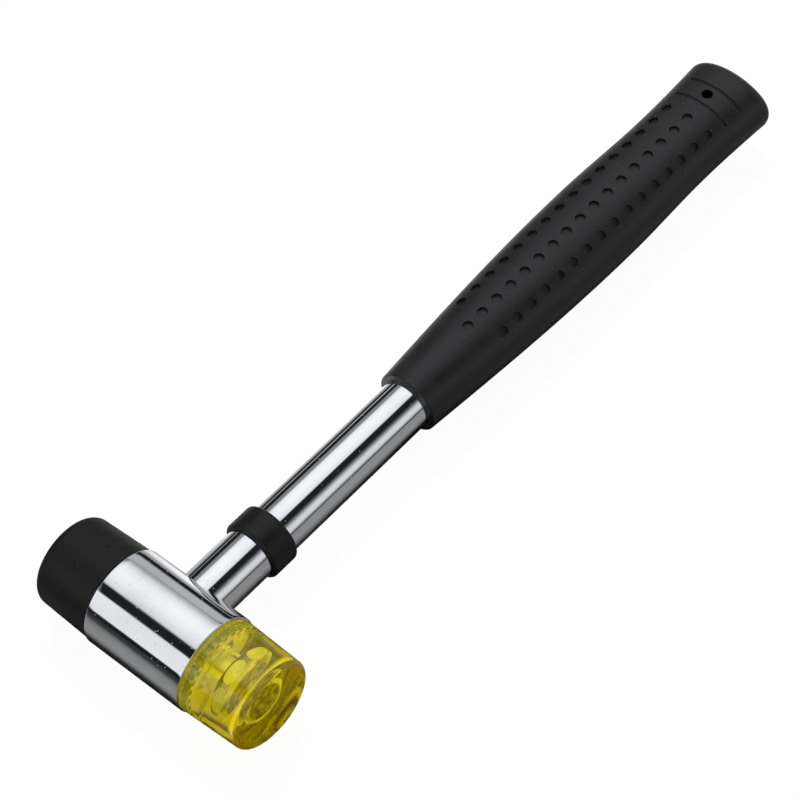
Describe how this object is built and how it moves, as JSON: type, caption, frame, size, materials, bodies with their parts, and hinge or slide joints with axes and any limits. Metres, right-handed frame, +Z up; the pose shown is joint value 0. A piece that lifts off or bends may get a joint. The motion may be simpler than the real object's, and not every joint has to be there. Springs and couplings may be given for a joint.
{
  "type": "soft face hammer",
  "caption": "Double-faced soft hammer: chromed barrel on a tube handle, with a clear plastic face and a rubber face that unscrew, a rubber collar and a pitted rubber grip.",
  "frame": {"origin": "on the table under the middle of the hammer's box, with the hammer lying on the side of its barrel", "axes": "+X along the handle from head to grip end, +Y along the head from the clear face to the rubber face, +Z up from the table"},
  "size_m": [0.265, 0.0758, 0.03],
  "materials": {
    "chrome": "polished chrome plate on steel",
    "grip_rubber": "matt moulded rubber",
    "collar_rubber": "satin rubber",
    "clear_plastic": "clear yellow plastic, polished",
    "face_rubber": "matt rubber",
    "bolt_steel": "zinc-plated steel"
  },
  "bodies": {
    "hammer": {"head_barrel": "chrome", "handle_tube": "chrome", "grip": "grip_rubber"},
    "collar": {"tube_collar": "collar_rubber"},
    "clear_washer": {"clear_face_washer": "bolt_steel"},
    "clear_head": {"clear_face": "clear_plastic", "clear_face_bolt": "bolt_steel"},
    "rubber_washer": {"rubber_face_washer": "bolt_steel"},
    "rubber_head": {"rubber_face": "face_rubber", "rubber_face_bolt": "bolt_steel"}
  },
  "joints": [
    {"name": "collar_slide", "type": "slide", "parent": "hammer", "child": "collar", "axis": [1, 0, 0], "range_m": [-0.017, 0.0558]},
    {"name": "clear_face_lift", "type": "slide", "parent": "hammer", "child": "clear_washer", "axis": [0, -1, 0], "range_m": [0, 0.01]},
    {"name": "clear_face_turn", "type": "hinge", "parent": "clear_washer", "child": "clear_head", "pos_m": [-0.1175, -0.01725, 0.015], "axis": [0, -1, 0], "range_deg": [0, 2880]},
    {"name": "rubber_face_lift", "type": "slide", "parent": "hammer", "child": "rubber_washer", "axis": [0, 1, 0], "range_m": [0, 0.01]},
    {"name": "rubber_face_turn", "type": "hinge", "parent": "rubber_washer", "child": "rubber_head", "pos_m": [-0.1175, 0.01725, 0.015], "axis": [0, 1, 0], "range_deg": [0, 2880]}
  ],
  "couplings": [
    {"joint": "clear_face_lift", "follows": "clear_face_turn", "m_per_rad": 0.00019894},
    {"joint": "rubber_face_lift", "follows": "rubber_face_turn", "m_per_rad": 0.00019894}
  ]
}
